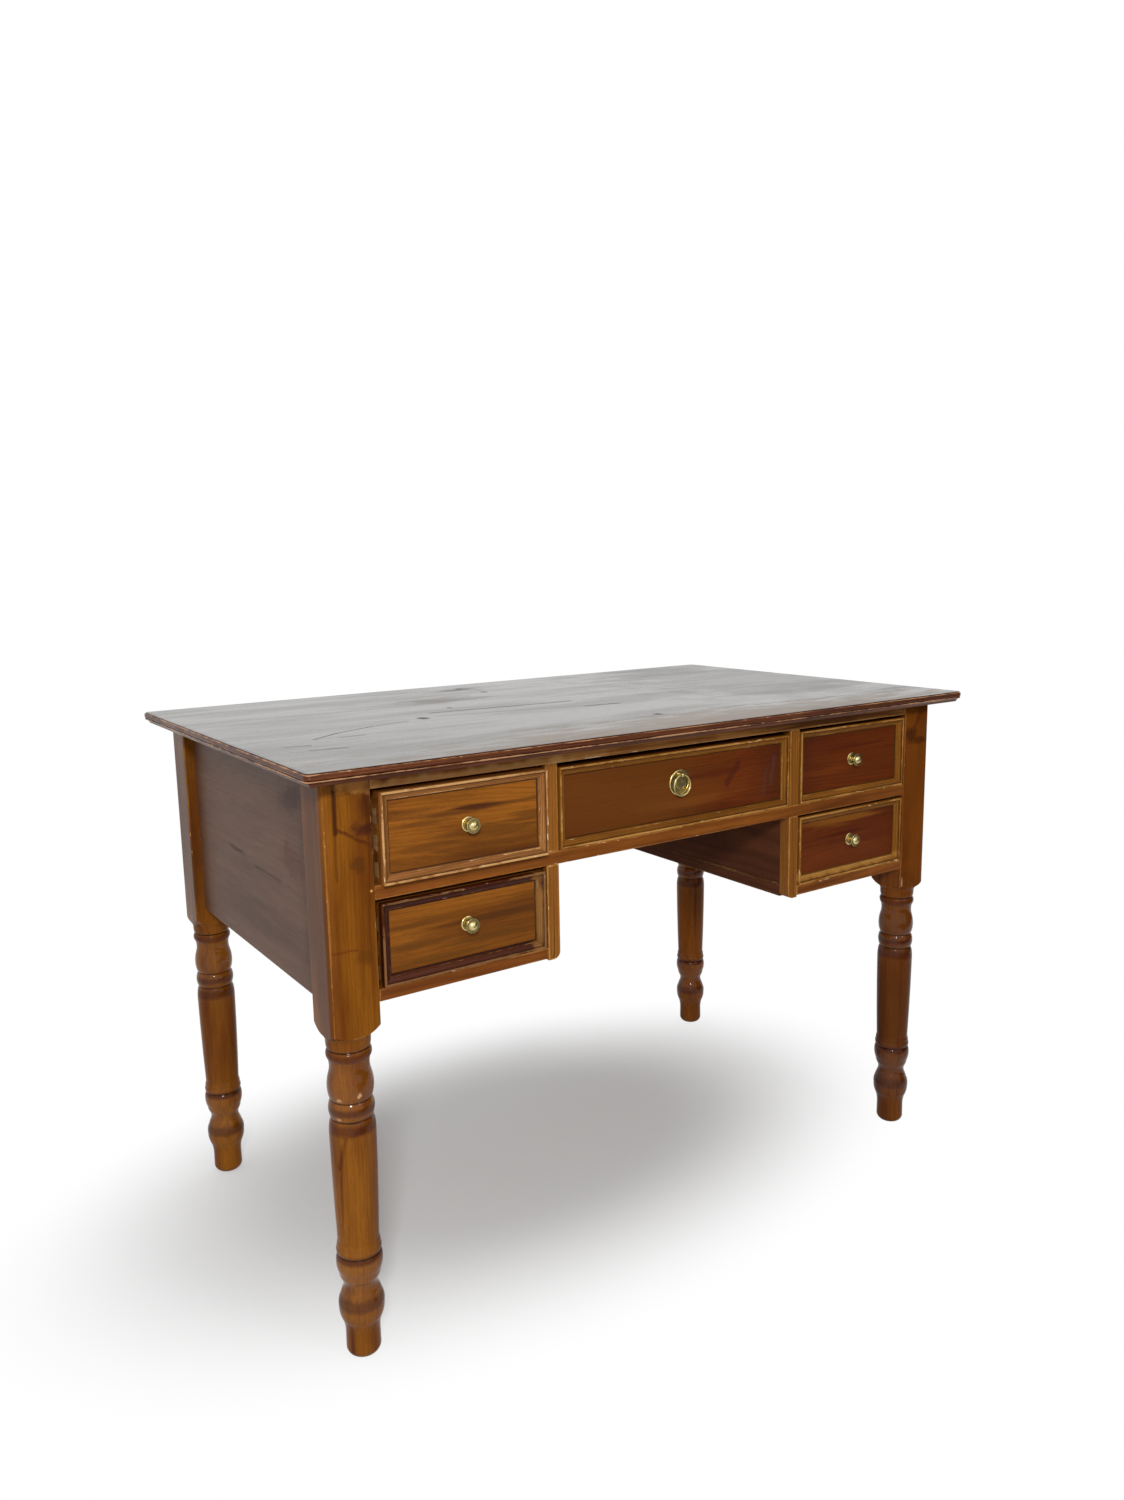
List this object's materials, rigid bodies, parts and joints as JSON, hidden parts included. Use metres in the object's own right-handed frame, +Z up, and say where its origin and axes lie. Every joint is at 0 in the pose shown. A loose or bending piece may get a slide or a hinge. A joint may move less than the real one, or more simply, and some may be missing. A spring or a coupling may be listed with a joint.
{
  "type": "kneehole writing desk",
  "caption": "Kneehole writing desk on turned legs, with a moulded top, two banks of drawers and a wide drawer over the kneehole, brass knobs and a ring pull.",
  "frame": {"origin": "on the floor, under the middle of the top", "axes": "+X to the sitter's right along the desk, +Y from the drawer fronts to the back, +Z up"},
  "size_m": [1.16, 0.69, 0.78],
  "materials": {
    "frame_wood": "varnished, orange-brown, satin to gloss",
    "top_wood": "worn varnish, brown with a pale bloom",
    "panel_wood": "dull varnish, grey-brown",
    "partition_wood": "dark varnish, dull",
    "drawer_front_wood": "varnished, red-brown with darker streaks",
    "moulding_wood": "varnished, worn pale along its edges",
    "inner_wood": "bare, dry",
    "brass": "old, polished on the high places",
    "steel": "dull"
  },
  "bodies": {
    "desk": {"bottom_rail_left": "frame_wood", "bottom_rail_right": "frame_wood", "drawer_guides": "inner_wood", "drawer_kickers": "inner_wood", "drawer_runners": "inner_wood", "leg_front_left": "frame_wood", "leg_front_right": "frame_wood", "leg_rear_left": "frame_wood", "leg_rear_right": "frame_wood", "middle_rail": "frame_wood", "partition_left": "partition_wood", "partition_rail_left": "partition_wood", "partition_rail_right": "partition_wood", "partition_right": "partition_wood", "rear_panel": "panel_wood", "side_panel_left": "panel_wood", "side_panel_right": "panel_wood", "stile_left": "frame_wood", "stile_right": "frame_wood", "top_board_front": "top_wood", "top_board_middle": "top_wood", "top_board_rear": "top_wood", "top_rail": "frame_wood", "top_screws": "steel"},
    "drawer_upper_left": {"drawer_upper_left_back": "inner_wood", "drawer_upper_left_bottom": "inner_wood", "drawer_upper_left_front": "drawer_front_wood", "drawer_upper_left_knob": "brass", "drawer_upper_left_moulding": "moulding_wood", "drawer_upper_left_rosette": "brass", "drawer_upper_left_sides": "inner_wood"},
    "drawer_lower_left": {"drawer_lower_left_back": "inner_wood", "drawer_lower_left_bottom": "inner_wood", "drawer_lower_left_front": "drawer_front_wood", "drawer_lower_left_knob": "brass", "drawer_lower_left_moulding": "moulding_wood", "drawer_lower_left_rosette": "brass", "drawer_lower_left_sides": "inner_wood"},
    "drawer_upper_right": {"drawer_upper_right_back": "inner_wood", "drawer_upper_right_bottom": "inner_wood", "drawer_upper_right_front": "drawer_front_wood", "drawer_upper_right_knob": "brass", "drawer_upper_right_moulding": "moulding_wood", "drawer_upper_right_rosette": "brass", "drawer_upper_right_sides": "inner_wood"},
    "drawer_lower_right": {"drawer_lower_right_back": "inner_wood", "drawer_lower_right_bottom": "inner_wood", "drawer_lower_right_front": "drawer_front_wood", "drawer_lower_right_knob": "brass", "drawer_lower_right_moulding": "moulding_wood", "drawer_lower_right_rosette": "brass", "drawer_lower_right_sides": "inner_wood"},
    "drawer_middle": {"drawer_middle_back": "inner_wood", "drawer_middle_bottom": "inner_wood", "drawer_middle_front": "drawer_front_wood", "drawer_middle_moulding": "moulding_wood", "drawer_middle_sides": "inner_wood", "pull_eye": "brass", "pull_plate": "brass"},
    "pull_ring": {"pull_ring": "brass"}
  },
  "joints": [
    {"name": "drawer_upper_left_slide", "type": "slide", "parent": "desk", "child": "drawer_upper_left", "axis": [0, -1, 0], "range_m": [-0.01, 0.37]},
    {"name": "drawer_lower_left_slide", "type": "slide", "parent": "desk", "child": "drawer_lower_left", "axis": [0, -1, 0], "range_m": [0, 0.38]},
    {"name": "drawer_upper_right_slide", "type": "slide", "parent": "desk", "child": "drawer_upper_right", "axis": [0, -1, 0], "range_m": [0, 0.38]},
    {"name": "drawer_lower_right_slide", "type": "slide", "parent": "desk", "child": "drawer_lower_right", "axis": [0, -1, 0], "range_m": [0, 0.38]},
    {"name": "drawer_middle_slide", "type": "slide", "parent": "desk", "child": "drawer_middle", "axis": [0, -1, 0], "range_m": [0, 0.38]},
    {"name": "pull_ring_hinge", "type": "hinge", "parent": "drawer_middle", "child": "pull_ring", "pos_m": [0, -0.3028, 0.70225], "axis": [-1, 0, 0], "range_deg": [0, 165]}
  ]
}
